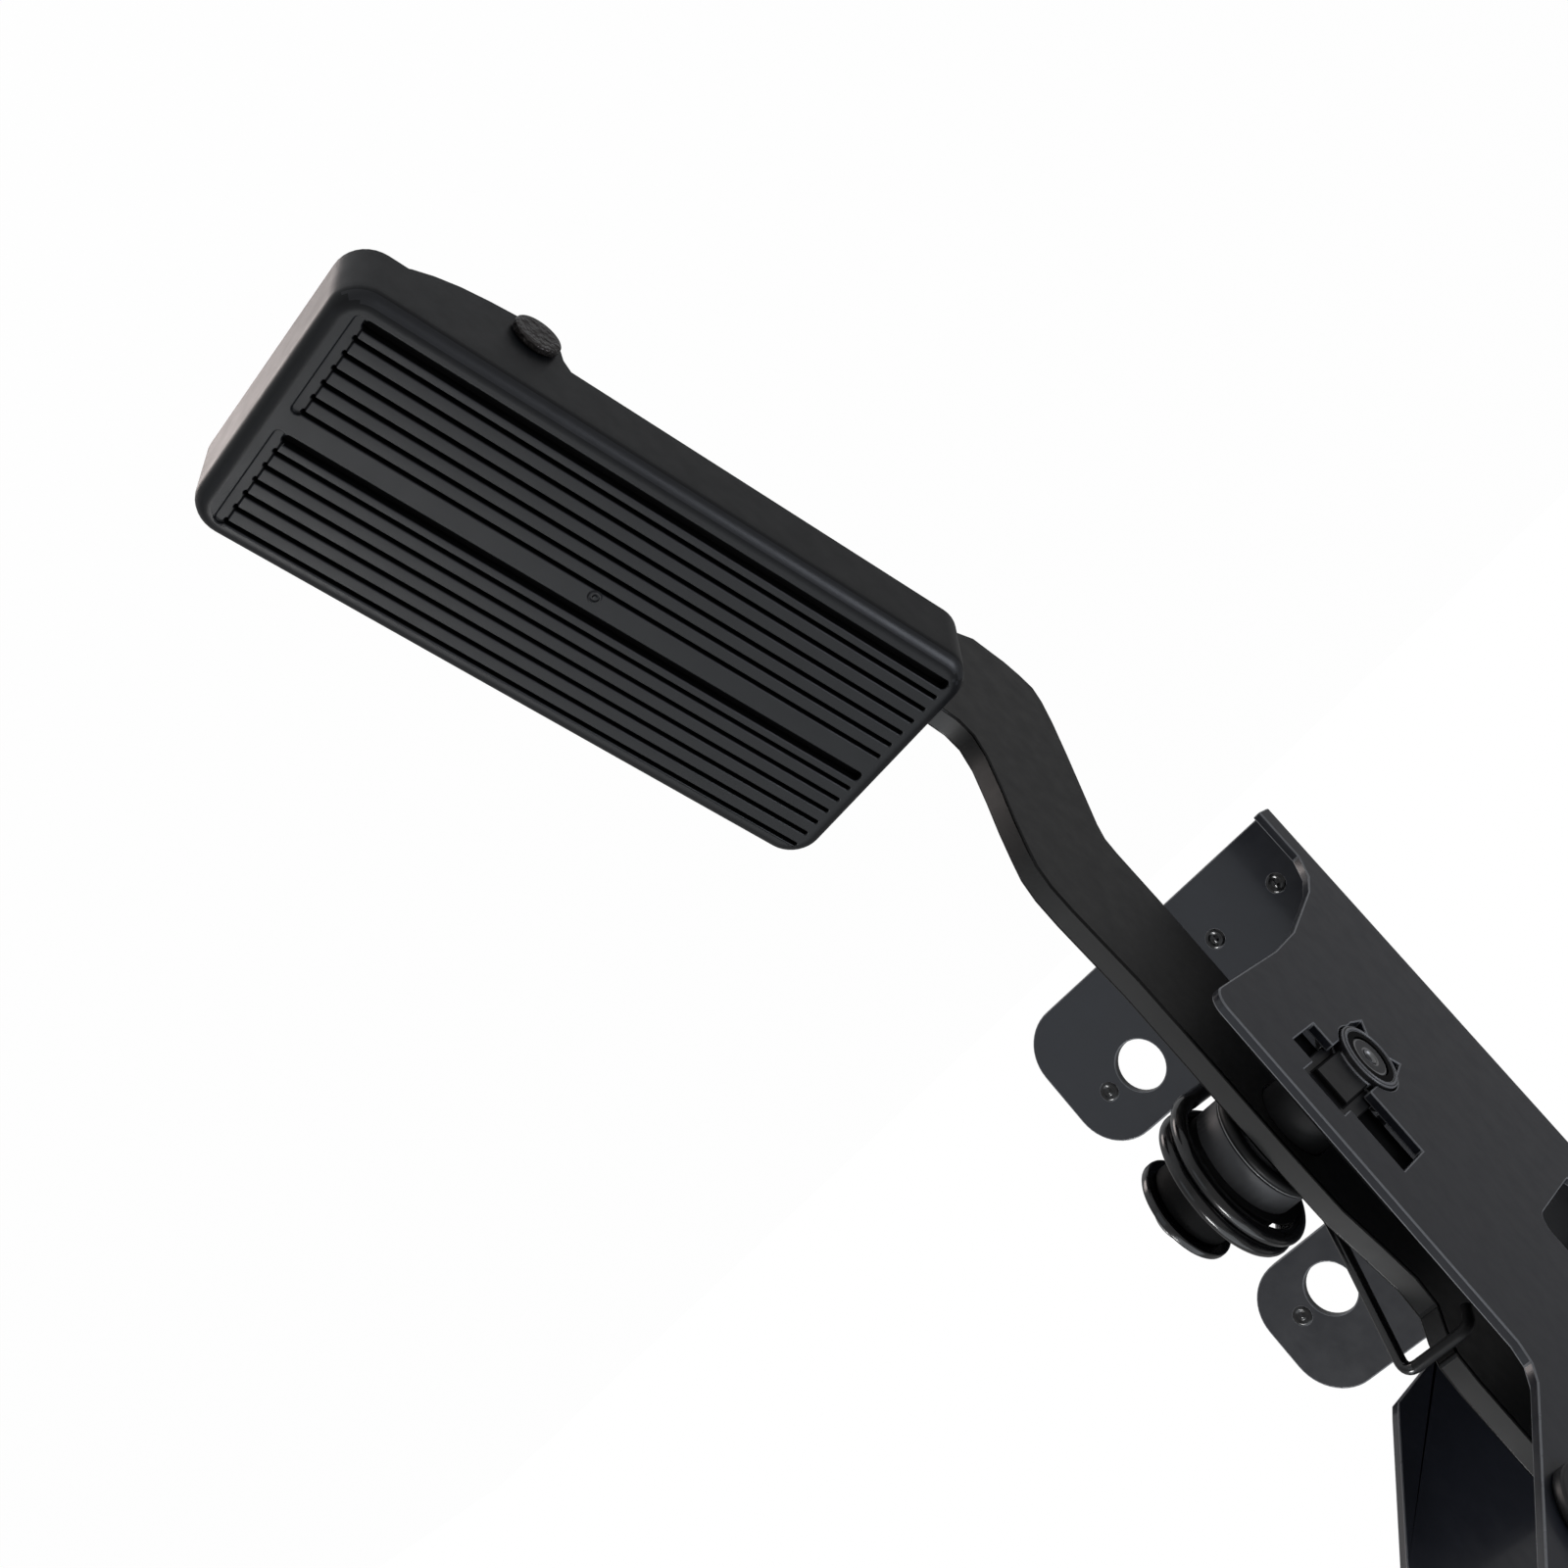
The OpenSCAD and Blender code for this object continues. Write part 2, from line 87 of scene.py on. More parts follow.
# Square lamps: name, place and target in metres, side, watts, colour
PIVOT_TARGET, PAD_TARGET = (-0.04, -0.06, -0.03), (-0.03, -0.13, -0.15)
LAMPS = (
    ("key", (0.75, -0.75, 0.45), PIVOT_TARGET, 0.24, 4.0, (1.0, 1.0, 1.0)),
    ("front", (0.37, -0.83, -0.24), PIVOT_TARGET, 0.4, 0.22, (0.8, 0.9, 1.0)),
    ("low", (0.22, 0.0, -0.66), PIVOT_TARGET, 0.25, 0.75, (1.0, 0.88, 0.84)),
    ("side", (-0.75, -0.08, 0.6), PIVOT_TARGET, 0.45, 2.9, (0.85, 0.9, 1.0)),
    ("sky", (0.51, -0.51, 0.84), PAD_TARGET, 1.0, 3.3, (0.88, 0.94, 1.0)),
)

# Angles between faces of the dressed nodes, in degrees: joined below, rounded above, shaded smooth below
FLAT_ANGLE, ROUND_ANGLE, SMOOTH_ANGLE = 0.6, 32.0, 40.0
ROUND_SEGMENTS = 3
TUBE_SMOOTH, LATHE_SMOOTH = 50.0, 50.0

# Points nearer than this are joined before the rounding
MERGE, BRACKET_MERGE = 0.001, 0.45

# Pad, in its own axes: x across, y through its depth, z along its face
PAD_LEAN = math.radians(42.1)
PAD_ORIGIN = Vector((0.0, -163.0, -203.5)) * MM
PAD_X0, PAD_X1 = -62.0, -4.0
PAD_Z0, PAD_Z1 = -7.0, 135.0
PAD_DEPTH = 18.0
PAD_CORNER, PAD_CORNER_LEAST, PAD_CORNER_STEPS = 7.0, 0.6, 9
PAD_FILLET, PAD_FILLET_STEPS = 3.4, 8
PAD_SIDE_START = PAD_FILLET + 1.5
PAD_WALL = 3.0
PAD_FACE = 5.0
PAD_ROUND_ANGLE, PAD_SMOOTH_ANGLE = 40.0, 45.0

# Grooves of the pad, in two groups, each with a broad groove first
GROOVE_PITCH, GROOVE_COUNT = 3.5, 6
GROOVE_W, BROAD_W = 0.92, 2.3
GROOVE_DEPTH = 2.6
GROOVE_CORNER = 0.38
GROOVE_EDGE = 0.3
GROOVE_Z0, GROOVE_Z1 = 0.0, 131.0
FIRST_GROOVE_X = -53.0
SECOND_GROUP = 27.2
BROAD_OFFSET = 3.3
END_STEP, END_STEP_DEPTH, END_STEP_CORNER = 1.9, 0.75, 1.1
END_STEP_LAP = 0.4

# Depth at which the cutters of the face start
CUT_START = -1.0

# Where the pad gets painted shade inside its grooves, and where its rounded edges get a painted highlight
DARK_Y0, DARK_Y1 = 0.54, PAD_FACE - 0.5
DARK_Z0, DARK_Z1 = GROOVE_Z0 + 0.45, GROOVE_Z1 + 0.1
# Normal and lengthwise limits of the rounded edges that get a painted highlight
HIGHLIGHT_TURN, HIGHLIGHT_UP = -0.2, 0.3
HIGHLIGHT_Z0, HIGHLIGHT_END_Z = GROOVE_Z0 - 0.6, GROOVE_Z0 + 1.0

# Outlines in the pad's depth and length: the rim's swelling round the hinge pin, and the lugs beside the arm
PIN_Z = 30.5
BOSS_OUTLINE = (
    (9, 4), (16.5, 2.4), (18.4, 4.5), (21.2, 9), (23.6, 14.5), (25.3, 20.7), (26.4, 26.5),
    (26.9, 31), (25.9, 34.4), (23.6, 36.4), (20.4, 37.2), (17.6, 39.2), (14, 43), (9, 45),
)
LUG_OUTLINE = (
    (4, PIN_Z - 9), (18, PIN_Z - 9), (23, PIN_Z - 6), (27, PIN_Z),
    (25.5, PIN_Z + 4.6), (21, PIN_Z + 6.4), (18, PIN_Z + 9), (4, PIN_Z + 9),
)
LUGS_X = ((-47.3, -43.3), (-33.6, -29.6))

# Round marks, as (radius, height): the dot on the pad's face and the dimples of the base plate
DOT_PROFILE = ((0.02, 0.45), (0.4, 0.42), (0.55, 0.08), (0.85, 0.06), (1.0, 0.36), (1.2, 0.38), (1.45, 0.0))
DOT_X, DOT_Z, DOT_STEPS = -33.8, 63.7, 20
DIMPLE_PROFILE = ((0.05, 0.35), (0.5, 0.33), (0.8, 0.05), (1.2, 0.02), (1.5, 0.3), (1.8, 0.34), (2.3, -0.02))
DIMPLES_AT = ((-52.9, -41.5), (-33.8, -41.3), (10.2, -31.7), (9.6, 32.4))
PLATE_FACE_Y = -2.0

# Pivot axis, in the row frame
PIVOT_Y, PIVOT_Z = -55.0, -1.5

# Straight legs of both springs, from the base plate to the pivot's depth
LEG_START, LEG_STEP, LEG_POINTS, LEG_STOP = -0.3, 4.0, 14, 1

# Small spring: one turn that shifts sideways near its end, and a leg hooked over the arm's front edge
SMALL_R, SMALL_WIRE, SMALL_X, SMALL_STEPS = 12.0, 1.25, -36.4, 90
SMALL_LEAD_X, SHIFT_START, SHIFT_SPAN = -33.9, 0.68, 0.32
HOOK_ANGLE = math.radians(36.5)
HOOK_Y, HOOK_Z, HOOK_X0, HOOK_X1 = -68.45, 46.6, -48.5, -32.4
HOOK_TIP, HOOK_ROUND = Vector((0, 4.3, -2.6)), 3.0
# Toward the arm from this x, the small spring gets a duller, darker wire as painted shade
SMALL_SHADE_X = -34.6

# Large spring: turns side by side, drawn in a little at one place, with its end bent into the spool
LARGE_R, LARGE_WIRE, LARGE_X, LARGE_PITCH = 16.4, 1.75, -28.6, 3.52
LARGE_TURNS, LARGE_STEPS, LARGE_SIDES = 1.75, 220, 24
LEG_FLARE, FLARE_TURN = -0.8, 0.13
DRAWN_IN, DRAWN_TURN, DRAWN_SPAN = 3.6, 0.93, 0.2
INWARD_STEP, INWARD_POINTS = 0.9, 6

# Spool: its fine lip, light grey as a painted highlight, and the dark lobe and web beside the coil, with
# their start and end in degrees
LIP_R, LIP_WIRE, LIP_X = 12.55, 0.2, -35.3
LIP_STEPS, LIP_SIDES = 96, 8
LOBE_R, LOBE_X0, LOBE_X1 = 17.5, -31.9, -30.6
LOBE_START, LOBE_END = 0, 62
WEB_R, WEB_X0, WEB_X1 = 14.6, -29.3, -28.9
WEB_START, WEB_END = -30, 212
SECTOR_STEP = 2
# The spool's end past this x gets painted shade
DARK_SPOOL_X = -29.2

# Bush: a dark ring of painted shade and a fine ring round the shaft's end, a painted shade plate behind its
# keyed opening, its round part
SHADE_DISC_R0, SHADE_DISC_R1, SHADE_DISC_PROUD, SHAFT_END_STEPS = 4.6, 5.9, 0.06, 48
RING_R, RING_WIRE, RING_SIDES = 6.5, 0.3, 8
KEY_SHADE_PLATE = ((-59.1, -85.5, -16.0), (-58.8, -62.0, 21.0))
BUSH_ROUND_R = 10.8


def link(obj):
    """Puts an object into the scene."""
    bpy.context.scene.collection.objects.link(obj)
    return obj


def new_object(name, bm):
    """A mesh object from bm, which is freed."""
    mesh = bpy.data.meshes.new(name)
    bmesh.ops.recalc_face_normals(bm, faces=bm.faces)
    bm.to_mesh(mesh)
    bm.free()
    return link(bpy.data.objects.new(name, mesh))


def smooth(obj, angle):
    """Smooth shading that keeps edges sharper than angle, in degrees."""
    for poly in obj.data.polygons:
        poly.use_smooth = True
    obj.data.set_sharp_from_angle(angle=math.radians(angle))


def apply_modifiers(obj):
    """Replaces the object's mesh by its evaluated one."""
    graph = bpy.context.evaluated_depsgraph_get()
    mesh = bpy.data.meshes.new_from_object(obj.evaluated_get(graph))
    obj.modifiers.clear()
    obj.data = mesh


def round_edges(obj, width, angle, material_index=-1):
    """Rounds the edges sharper than angle, in degrees. They can have a material of their own."""
    bevel = obj.modifiers.new("edges", "BEVEL")
    bevel.width = width * MM
    bevel.segments = ROUND_SEGMENTS
    bevel.limit_method = "ANGLE"
    bevel.angle_limit = math.radians(angle)
    bevel.use_clamp_overlap = False
    bevel.material = material_index
    apply_modifiers(obj)


def even_normals(obj, angle):
    """Smooth shading that follows the large faces and keeps edges sharper than angle, in degrees."""
    smooth(obj, angle)
    weighted = obj.modifiers.new("normals", "WEIGHTED_NORMAL")
    weighted.keep_sharp = True
    apply_modifiers(obj)


def boolean(obj, tool, operation):
    """Cuts a tool object out of obj or adds it, and removes the tool."""
    modifier = obj.modifiers.new("cut", "BOOLEAN")
    modifier.object = tool
    modifier.operation = operation
    modifier.solver = "EXACT"
    apply_modifiers(obj)
    bpy.data.objects.remove(tool)


def join(obj, other):
    """Adds the other object's mesh to obj, and removes the other."""
    bm = bmesh.new()
    bm.from_mesh(obj.data)
    bm.from_mesh(other.data)
    bpy.data.objects.remove(other)
    bm.to_mesh(obj.data)
    bm.free()


def nodes_of(material):
    """A fresh shader of a material: its tree, its main node and its object coordinates."""
    material.use_nodes = True
    tree = material.node_tree
    tree.nodes.clear()
    out = tree.nodes.new("ShaderNodeOutputMaterial")
    shader = tree.nodes.new("ShaderNodeBsdfPrincipled")
    tree.links.new(shader.outputs["BSDF"], out.inputs["Surface"])
    coords = tree.nodes.new("ShaderNodeTexCoord")
    return tree, shader, coords.outputs["Object"]


def noise(tree, coords, scale, detail, rough=0.5):
    """A noise value over the coordinates."""
    node = tree.nodes.new("ShaderNodeTexNoise")
    node.inputs["Scale"].default_value = scale
    node.inputs["Detail"].default_value = detail
    node.inputs["Roughness"].default_value = rough
    tree.links.new(coords, node.inputs["Vector"])
    return node.outputs["Fac"]


def map_range(tree, value, start, end, low, high):
    """The value, moved from the range start to end into the range low to high."""
    node = tree.nodes.new("ShaderNodeMapRange")
    node.inputs["From Min"].default_value = start
    node.inputs["From Max"].default_value = end
    node.inputs["To Min"].default_value = low
    node.inputs["To Max"].default_value = high
    tree.links.new(value, node.inputs["Value"])
    return node.outputs["Result"]


def mix_colour(tree, value, one, two):
    """A colour between two colours."""
    node = tree.nodes.new("ShaderNodeMix")
    node.data_type = "RGBA"
    node.inputs["A"].default_value = (*one, 1.0)
    node.inputs["B"].default_value = (*two, 1.0)
    tree.links.new(value, node.inputs["Factor"])
    return node.outputs["Result"]


def bump(tree, shader, height, strength, distance):
    """A fine relief on the shader's surface."""
    node = tree.nodes.new("ShaderNodeBump")
    node.inputs["Strength"].default_value = strength
    node.inputs["Distance"].default_value = distance
    tree.links.new(height, node.inputs["Height"])
    tree.links.new(node.outputs["Normal"], shader.inputs["Normal"])


def show_mix(tree, out, share, first, second):
    """Sends a mix of two shaders to the output, where share is how much the second one counts."""
    mix = tree.nodes.new("ShaderNodeMixShader")
    tree.links.new(share, mix.inputs["Fac"])
    tree.links.new(first, mix.inputs[1])
    tree.links.new(second, mix.inputs[2])
    tree.links.new(mix.outputs["Shader"], out.inputs["Surface"])


def surface(name, dark, light, rough, grain, grain_depth, metal=0.0, coat=0.0, specular=0.5,
            grain_strength=0.3):
    """A finish between two colours and two roughnesses. grain is its noise scale, grain_depth in metres."""
    material = bpy.data.materials.new(name)
    tree, shader, coords = nodes_of(material)
    slow = noise(tree, coords, BLOTCH, BLOTCH_DETAIL, BLOTCH_ROUGH)
    tree.links.new(mix_colour(tree, slow, dark, light), shader.inputs["Base Color"])
    gloss = map_range(tree, noise(tree, coords, GLOSS_BLOTCH, GLOSS_DETAIL), NOISE_LOW, NOISE_HIGH, *rough)
    tree.links.new(gloss, shader.inputs["Roughness"])
    shader.inputs["Metallic"].default_value = metal
    shader.inputs["Specular IOR Level"].default_value = specular
    shader.inputs["Coat Weight"].default_value = coat
    shader.inputs["Coat Roughness"].default_value = COAT_ROUGH
    bump(tree, shader, noise(tree, coords, grain, GRAIN_DETAIL), grain_strength, grain_depth)
    return material


def enamel_finishes():
    """The bracket's and the arm's enamel, with a painted highlight on the bracket's rounded edges and
    painted shade on the arm's.
    """
    return {
        "bracket": surface("bracket_enamel", (0.0095, 0.0106, 0.0155), (0.0130, 0.0146, 0.0210),
                           (0.28, 0.40), 420.0, 0.00004, coat=0.3),
        # A light finish for the bracket's rounded edges: a painted highlight
        "bracket_painted_highlight": surface("bracket_painted_highlight", (0.13, 0.135, 0.145), (0.19, 0.195, 0.21),
                                (0.25, 0.35), 600.0, 0.00002, coat=0.3),
        "arm": surface("arm_enamel", (0.0145, 0.0142, 0.0140), (0.0205, 0.0200, 0.0198),
                       (0.42, 0.55), 900.0, 0.00003),
        # A near black finish for the arm's rounded edges: painted shade
        "arm_painted_shade": surface("arm_painted_shade", (0.0010, 0.0010, 0.0010), (0.0020, 0.0020, 0.0020),
                            (0.22, 0.30), 900.0, 0.00002, specular=0.3),
    }


def pad_finishes():
    """The pad's plastic, a lighter copy of it as a painted highlight on its edges, and a near black painted
    shade.
    """
    return {
        "pad": surface("pad_plastic", (0.0038, 0.0042, 0.0053), (0.0046, 0.0051, 0.0064),
                       (0.38, 0.44), 2600.0, 0.00003, specular=0.3),
        # A lighter copy of the pad's plastic: a painted highlight on its rounded edges
        "painted_highlight_edge": surface("pad_painted_highlight", (0.0120, 0.0130, 0.0155), (0.0170, 0.0182, 0.0215),
                        (0.30, 0.38), 2600.0, 0.00002, specular=0.4),
        # A near black painted shade, for the pad's grooves, the bush's recess, dark ring and plate, and the
        # spool's far end
        "groove": surface("pad_groove", (0.0012, 0.0012, 0.0013), (0.0020, 0.0020, 0.0022),
                          (0.6, 0.7), 2600.0, 0.00003, specular=0.12),
    }


def plastic_finishes():
    """The plastics and the rubber of the pivot, the spool, the rings and the stop, with painted highlights
    on rounded plastic edges and the spool's lip.
    """
    return {
        "plastic": surface("black_plastic", (0.008, 0.008, 0.009), (0.012, 0.012, 0.013),
                           (0.30, 0.42), 700.0, 0.00003),
        # A light finish for the rounded edges of the bush and for its fine ring: a painted highlight
        "plastic_painted_highlight": surface("plastic_painted_highlight", (0.12, 0.122, 0.13), (0.18, 0.183, 0.195),
                                (0.25, 0.35), 700.0, 0.00002),
        "dull": surface("dull_plastic", (0.004, 0.004, 0.0045), (0.008, 0.008, 0.009),
                        (0.55, 0.68), 700.0, 0.00005, specular=0.3),
        "spool": surface("spool_plastic", (0.050, 0.051, 0.055), (0.062, 0.063, 0.068),
                         (0.42, 0.55), 900.0, 0.00003),
        # The spool's lip is light grey: a painted highlight
        "lip": surface("spool_lip", (0.20, 0.205, 0.21), (0.30, 0.305, 0.31),
                       (0.25, 0.35), 900.0, 0.00002),
        "sleeve": surface("sleeve_nylon", (0.55, 0.55, 0.50), (0.62, 0.62, 0.57),
                          (0.45, 0.55), 800.0, 0.00003),
        "rubber": surface("stop_rubber", (0.012, 0.012, 0.012), (0.02, 0.02, 0.02),
                          (0.65, 0.8), 1200.0, 0.00005),
    }


def steel_finishes():
    """The spring wire and its duller, darker copy as painted shade, the shaft with a painted highlight on
    its edges, the pin and the bare steel.
    """
    return {
        "wire": surface("spring_wire", (0.002, 0.002, 0.0025), (0.004, 0.004, 0.005),
                        (0.16, 0.24), 1500.0, 0.00002, coat=0.4),
        # A duller, darker copy of the wire, for the small spring's part toward the arm: painted shade
        "wire_painted_shade": surface("spring_wire_painted_shade", (0.0015, 0.0015, 0.0018), (0.003, 0.003, 0.0035),
                             (0.42, 0.52), 1500.0, 0.00002, specular=0.3),
        "steel": surface("bare_steel", (0.20, 0.20, 0.21), (0.30, 0.30, 0.31),
                         (0.32, 0.45), 1200.0, 0.00002, metal=1.0),
        "shaft": surface("shaft_steel", (0.060, 0.060, 0.062), (0.085, 0.085, 0.088),
                         (0.38, 0.50), 500.0, 0.00006, metal=0.5),
        # A light finish for the shaft's rounded edges: a painted highlight
        "shaft_painted_highlight": surface("shaft_painted_highlight", (0.22, 0.22, 0.22), (0.34, 0.34, 0.34),
                              (0.28, 0.38), 900.0, 0.00002, metal=0.6),
        "pin": surface("pin_steel", (0.012, 0.011, 0.011), (0.085, 0.076, 0.074),
                       (0.22, 0.42), 520.0, 0.0011, metal=0.6, grain_strength=1.0),
    }


def make_finishes():
    """Every finish, by its short name."""
    return {**enamel_finishes(), **pad_finishes(), **plastic_finishes(), **steel_finishes()}


def paint(obj, material):
    """Gives the whole object one material."""
    obj.data.materials.clear()
    obj.data.materials.append(material)


def repaint(obj, material, wanted):
    """Gives the faces for which wanted(face) holds another material."""
    obj.data.materials.append(material)
    last = len(obj.data.materials) - 1
    for poly in obj.data.polygons:
        if wanted(poly):
            poly.material_index = last


def split_at_x(obj, x):
    """Cuts the mesh's faces at a plane of constant x."""
    bm = bmesh.new()
    bm.from_mesh(obj.data)
    parts = bm.verts[:] + bm.edges[:] + bm.faces[:]
    bmesh.ops.bisect_plane(bm, geom=parts, plane_co=(x * MM, 0, 0), plane_no=(1, 0, 0))
    bm.to_mesh(obj.data)
    bm.free()


def dressed(node, body, material, rounding, edge=None, merge=MERGE):
    """A copy of a CAD node with rounded edges, which stands for it. edge, where given, paints those edges
    with a highlight or with shade.
    """
    bm = bmesh.new()
    bm.from_mesh(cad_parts[node].data)
    # Short sides would fold over in the rounding
    bmesh.ops.remove_doubles(bm, verts=bm.verts, dist=merge * MM)
    bmesh.ops.dissolve_limit(bm, angle_limit=math.radians(FLAT_ANGLE), verts=bm.verts, edges=bm.edges)
    obj = new_object(node + "_dressed", bm)
    paint(obj, material)
    if edge:
        obj.data.materials.append(edge)
    round_edges(obj, rounding, ROUND_ANGLE, 1 if edge else -1)
    even_normals(obj, SMOOTH_ANGLE)
    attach(obj, body)
    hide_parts(node)
    return obj


def skin(bm, one, two):
    """The faces between two closed loops with the same number of points."""
    count = len(one)
    for k in range(count):
        after = (k + 1) % count
        bm.faces.new((one[k], one[after], two[after], two[k]))


def close_rings(bm, rings):
    """The faces along a row of closed loops, and over its two ends."""
    for one, two in zip(rings, rings[1:]):
        skin(bm, one, two)
    bm.faces.new(list(reversed(rings[0])))
    bm.faces.new(rings[-1])


def slab(bm, near, far):
    """A closed block between two outlines with the same number of points."""
    ends = [[bm.verts.new(Vector(point) * MM) for point in outline] for outline in (near, far)]
    skin(bm, ends[0], ends[1])
    for end in ends:
        bm.faces.new(end)


def full_turn(steps):
    """Angles that divide a circle evenly."""
    return [2 * math.pi * k / steps for k in range(steps)]


def tube(name, points, radius, sides=20):
    """A round wire along points, with closed ends."""
    bm = bmesh.new()
    pts = [Vector(p) * MM for p in points]
    up = Vector((1, 0, 0))
    rings = []
    for i, p in enumerate(pts):
        ahead = (pts[min(i + 1, len(pts) - 1)] - pts[max(i - 1, 0)]).normalized()
        side = ahead.cross(up)
        if side.length < ALONG:
            side = ahead.cross(Vector((0, 1, 0)))
        side.normalize()
        up = side.cross(ahead).normalized()
        ring = []
        for a in full_turn(sides):
            ring.append(bm.verts.new(p + (side * math.cos(a) + up * math.sin(a)) * radius * MM))
        rings.append(ring)
    close_rings(bm, rings)
    obj = new_object(name, bm)
    smooth(obj, TUBE_SMOOTH)
    return obj


def lathe(name, profile, steps=28):
    """A turned piece about the Z axis from (radius, height) points."""
    bm = bmesh.new()
    rings = []
    for r, h in profile:
        ring = [Vector((r * math.cos(a), r * math.sin(a), h)) * MM for a in full_turn(steps)]
        rings.append([bm.verts.new(point) for point in ring])
    close_rings(bm, rings)
    obj = new_object(name, bm)
    smooth(obj, LATHE_SMOOTH)
    return obj


def facing_driver(x, y, z):
    """A placement that turns a piece made about Z toward the driver."""
    return Matrix.Translation(Vector((x, y, z)) * MM) @ Matrix.Rotation(math.radians(90), 4, "X")


def rounded_path(corners, radius, steps=8):
    """The corners joined by straight lines, with each inner corner rounded."""
    path = [corners[0]]
    for before, corner, after in zip(corners, corners[1:], corners[2:]):
        a = corner + (before - corner).normalized() * radius
        b = corner + (after - corner).normalized() * radius
        for k in range(steps + 1):
            t = k / steps
            path.append(a.lerp(corner, t).lerp(corner.lerp(b, t), t))
    path.append(corners[-1])
    return path


def rounded_plan(x0, x1, z0, z1, r, steps=5):
    """Points of a rounded rectangle."""
    plan = []
    corners = ((x1 - r, z1 - r, 0), (x0 + r, z1 - r, 90), (x0 + r, z0 + r, 180), (x1 - r, z0 + r, 270))
    for cx, cz, start in corners:
        for k in range(steps + 1):
            a = math.radians(start + 90 * k / steps)
            plan.append((cx + r * math.cos(a), cz + r * math.sin(a)))
    return plan


def pad_matrix():
    """From the pad's own axes to the row frame."""
    c, s = math.cos(PAD_LEAN), math.sin(PAD_LEAN)
    turn = Matrix(((1, 0, 0, 0), (0, c, s, 0), (0, -s, c, 0), (0, 0, 0, 1)))
    return Matrix.Translation(PAD_ORIGIN) @ turn


def plan_loop(bm, y, inset):
    """A rounded rectangle of the pad's plan at depth y, pulled in by inset."""
    r = max(PAD_CORNER - inset, PAD_CORNER_LEAST)
    x0, x1 = PAD_X0 + inset, PAD_X1 - inset
    plan = rounded_plan(x0, x1, PAD_Z0 + inset, PAD_Z1 - inset, r, PAD_CORNER_STEPS)
    return [bm.verts.new(Vector((x, y, z)) * MM) for x, z in plan]


def pad_shell():
    """The pad's hollow tray with its round front edge, before the grooves."""
    bm = bmesh.new()
    outer = [plan_loop(bm, PAD_DEPTH, 0.0), plan_loop(bm, PAD_SIDE_START, 0.0)]
    for k in range(PAD_FILLET_STEPS + 1):
        a = math.radians(90 * k / PAD_FILLET_STEPS)
        outer.append(plan_loop(bm, PAD_FILLET * (1 - math.sin(a)), PAD_FILLET * (1 - math.cos(a))))
    for one, two in zip(outer, outer[1:]):
        skin(bm, one, two)
    bm.faces.new(outer[-1])
    inner = [plan_loop(bm, PAD_DEPTH, PAD_WALL), plan_loop(bm, PAD_FACE, PAD_WALL)]
    skin(bm, inner[0], inner[1])
    bm.faces.new(inner[1])
    skin(bm, outer[0], inner[0])
    return new_object("pad_shell", bm)


def groove_centres(group):
    """Centre and width of each groove of one group, the broad one first."""
    first = FIRST_GROOVE_X + group
    narrow = [(first + k * GROOVE_PITCH, GROOVE_W) for k in range(GROOVE_COUNT)]
    return [(first - BROAD_OFFSET, BROAD_W)] + narrow


def cutter(name, plans, depth):
    """Upright bars over the pad's face, one for each plan, down to a depth."""
    bm = bmesh.new()
    for plan in plans:
        slab(bm, [(x, CUT_START, z) for x, z in plan], [(x, depth, z) for x, z in plan])
    return new_object(name, bm)


def groove_bars():
    """The space of the grooves between the ribs."""
    plans = []
    for group in (0.0, SECOND_GROUP):
        for x, width in groove_centres(group):
            x0, x1 = x - width / 2, x + width / 2
            plans.append(rounded_plan(x0, x1, GROOVE_Z0, GROOVE_Z1, width * GROOVE_CORNER))
    return cutter("groove_bars", plans, GROOVE_DEPTH)


def end_steps():
    """The space of the low steps that the ribs end at, at the pad's lower end."""
    plans = []
    for group in (0.0, SECOND_GROUP):
        grooves = groove_centres(group)
        x0, x1 = grooves[0][0] - BROAD_W / 2, grooves[-1][0] + GROOVE_W
        plans.append(rounded_plan(x0, x1, GROOVE_Z0 - END_STEP, GROOVE_Z0 + END_STEP_LAP, END_STEP_CORNER))
    return cutter("end_steps", plans, END_STEP_DEPTH)


def boss_plates():
    """The swellings of the rim and the lugs beside the arm, round the hinge pin."""
    plates = [(BOSS_OUTLINE, PAD_X0, PAD_X0 + PAD_WALL), (BOSS_OUTLINE, PAD_X1 - PAD_WALL, PAD_X1)]
    plates += [(LUG_OUTLINE, x0, x1) for x0, x1 in LUGS_X]
    bm = bmesh.new()
    for plan, x0, x1 in plates:
        slab(bm, [(x0, y, z) for y, z in plan], [(x1, y, z) for y, z in plan])
    return new_object("boss_plates", bm)


def face_dot():
    """The small moulding dot on the band between the two groups."""
    dot = lathe("face_dot", DOT_PROFILE, DOT_STEPS)
    dot.data.transform(facing_driver(DOT_X, 0.0, DOT_Z))
    return dot


def in_groove(face):
    """Whether a face of the pad, in its own axes, lies inside a groove."""
    x, y, z = (v / MM for v in face.center)
    inside = PAD_X0 + PAD_FILLET < x < PAD_X1 - PAD_FILLET and DARK_Z0 < z < DARK_Z1
    return inside and DARK_Y0 < y < DARK_Y1


def painted_highlight_edge(face):
    """Whether a face is one of the rounded edges turned toward -x and the front, which get a painted
    highlight.
    """
    x, y, z = (v / MM for v in face.center)
    turned = min(face.normal.x, face.normal.z if z < HIGHLIGHT_END_Z else 0.0) < HIGHLIGHT_TURN
    if PAD_X0 + PAD_FILLET < x:
        return turned and face.normal.y < -HIGHLIGHT_UP and y < DARK_Y0 and z > HIGHLIGHT_Z0
    return face.normal.x < HIGHLIGHT_TURN * 2 and face.normal.y < -HIGHLIGHT_UP and y < PAD_FILLET


